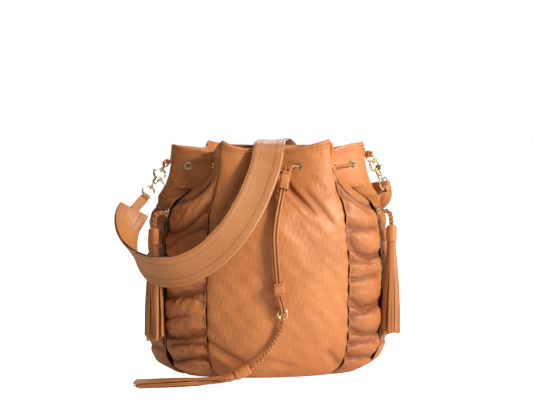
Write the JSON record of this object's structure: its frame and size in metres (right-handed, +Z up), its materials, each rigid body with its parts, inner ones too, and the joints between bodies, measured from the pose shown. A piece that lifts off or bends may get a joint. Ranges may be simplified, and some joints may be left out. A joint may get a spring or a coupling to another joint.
{
  "type": "drawstring bucket bag",
  "caption": "Leather bucket bag with ruched side panels, eyelets, leather drawstring, clipped shoulder strap and fringed tassels.",
  "frame": {"origin": "middle of the flat base, on the surface the bag stands on", "axes": "+Z up through the mouth, -Y towards the smooth front with the hanging drawstring ends, +X towards the wearer's view of the right side"},
  "size_m": [0.3764, 0.2436, 0.3011],
  "materials": {
    "leather": "satin",
    "ruched_leather": "satin",
    "strap_leather": "satin",
    "cord_leather": "satin",
    "lining_cloth": "matt",
    "board": "matt",
    "zip_chain": "satin",
    "gold_metal": "polished"
  },
  "bodies": {
    "bag": {"front_panel": "leather", "back_panel": "leather", "right_front_ruched_panel": "ruched_leather", "right_rear_ruched_panel": "ruched_leather", "right_gusset": "ruched_leather", "right_collar": "leather", "left_front_ruched_panel": "ruched_leather", "left_rear_ruched_panel": "ruched_leather", "left_gusset": "ruched_leather", "left_collar": "leather", "base_panel": "leather", "base_board": "board", "rim_facing": "leather", "lining": "lining_cloth", "lining_floor": "lining_cloth", "eyelets": "gold_metal", "drawstring": "cord_leather", "right_string_end": "cord_leather", "left_string_end": "cord_leather", "keeper": "leather", "right_zip_chain": "zip_chain", "left_zip_chain": "zip_chain", "left_strap_ring": "gold_metal", "left_snap_hook": "gold_metal", "left_gate_pin": "gold_metal", "left_tab": "leather", "right_strap_ring": "gold_metal", "right_snap_hook": "gold_metal", "right_gate_pin": "gold_metal", "right_tab": "leather", "strap_right_end": "strap_leather", "strap": "strap_leather", "strap_left_end": "strap_leather"},
    "left_gate": {"left_snap_gate": "gold_metal"},
    "left_swivel": {"left_swivel_eye": "gold_metal"},
    "left_ring": {"left_tab_ring": "gold_metal"},
    "left_zip": {"left_zip_slider": "gold_metal", "left_braid": "cord_leather"},
    "left_tassel": {"left_tassel_cap": "leather", "left_tassel_fringe": "cord_leather"},
    "right_gate": {"right_snap_gate": "gold_metal"},
    "right_swivel": {"right_swivel_eye": "gold_metal"},
    "right_ring": {"right_tab_ring": "gold_metal"},
    "right_zip": {"right_zip_slider": "gold_metal", "right_braid": "cord_leather"},
    "right_tassel": {"right_tassel_cap": "leather", "right_tassel_fringe": "cord_leather"},
    "cinch": {"cinch": "leather"},
    "front_tassel": {"front_ring": "gold_metal", "front_braid": "cord_leather", "front_tassel_cap": "leather", "front_tassel_fringe": "cord_leather"}
  },
  "joints": [
    {"name": "left_gate_hinge", "type": "hinge", "parent": "bag", "child": "left_gate", "pos_m": [-0.14236, -0.01114, 0.25046], "axis": [0.2639, -0.8873, 0.3783], "range_deg": [0, 14], "stiffness_Nm_per_rad": 0.02, "springref_deg": -11.46},
    {"name": "left_swivel_turn", "type": "hinge", "parent": "bag", "child": "left_swivel", "pos_m": [-0.14753, -0.01227, 0.25143], "axis": [-0.5014, -0.4613, -0.732], "range_deg": [-15, 15]},
    {"name": "left_ring_swing", "type": "hinge", "parent": "bag", "child": "left_ring", "pos_m": [-0.1342, 0, 0.2709], "axis": [0.2639, -0.8873, 0.3783], "range_deg": [-4, 4]},
    {"name": "left_zip_run", "type": "hinge", "parent": "bag", "child": "left_zip", "pos_m": [0.39255, 0.12029, 0.1101], "axis": [0.293, -0.9561, 0], "range_deg": [0, 4]},
    {"name": "left_tassel_swing", "type": "hinge", "parent": "left_zip", "child": "left_tassel", "pos_m": [-0.15368, -0.04709, 0.1905], "axis": [0.293, -0.9561, 0], "range_deg": [-5, 0.5]},
    {"name": "right_gate_hinge", "type": "hinge", "parent": "bag", "child": "right_gate", "pos_m": [0.14796, 0.00963, 0.26427], "axis": [0.5715, -0.8191, 0.0494], "range_deg": [0, 14], "stiffness_Nm_per_rad": 0.02, "springref_deg": -11.46},
    {"name": "right_swivel_turn", "type": "hinge", "parent": "bag", "child": "right_swivel", "pos_m": [0.14603, 0.008, 0.25951], "axis": [0.501, 0.3006, -0.8116], "range_deg": [-15, 15]},
    {"name": "right_ring_swing", "type": "hinge", "parent": "bag", "child": "right_ring", "pos_m": [0.1327, 0, 0.2811], "axis": [0.5715, -0.8191, 0.0494], "range_deg": [-4, 4]},
    {"name": "right_zip_run", "type": "hinge", "parent": "bag", "child": "right_zip", "pos_m": [-0.39255, 0.12029, 0.1101], "axis": [0.293, 0.9561, 0], "range_deg": [0, 4]},
    {"name": "right_tassel_swing", "type": "hinge", "parent": "right_zip", "child": "right_tassel", "pos_m": [0.15368, -0.04709, 0.1905], "axis": [0.293, 0.9561, 0], "range_deg": [-5, 0.5]},
    {"name": "cinch_slide", "type": "slide", "parent": "bag", "child": "cinch", "axis": [-0.2588, -0.4125, -0.8734], "range_m": [0, 0.009]},
    {"name": "front_tassel_swing", "type": "hinge", "parent": "bag", "child": "front_tassel", "pos_m": [0.002, -0.107, 0.093], "axis": [-1, 0, 0], "range_deg": [0, 40]}
  ],
  "couplings": [
    {"joint": "left_tassel_swing", "follows": "left_zip_run", "ratio": -1},
    {"joint": "right_tassel_swing", "follows": "right_zip_run", "ratio": -1}
  ]
}
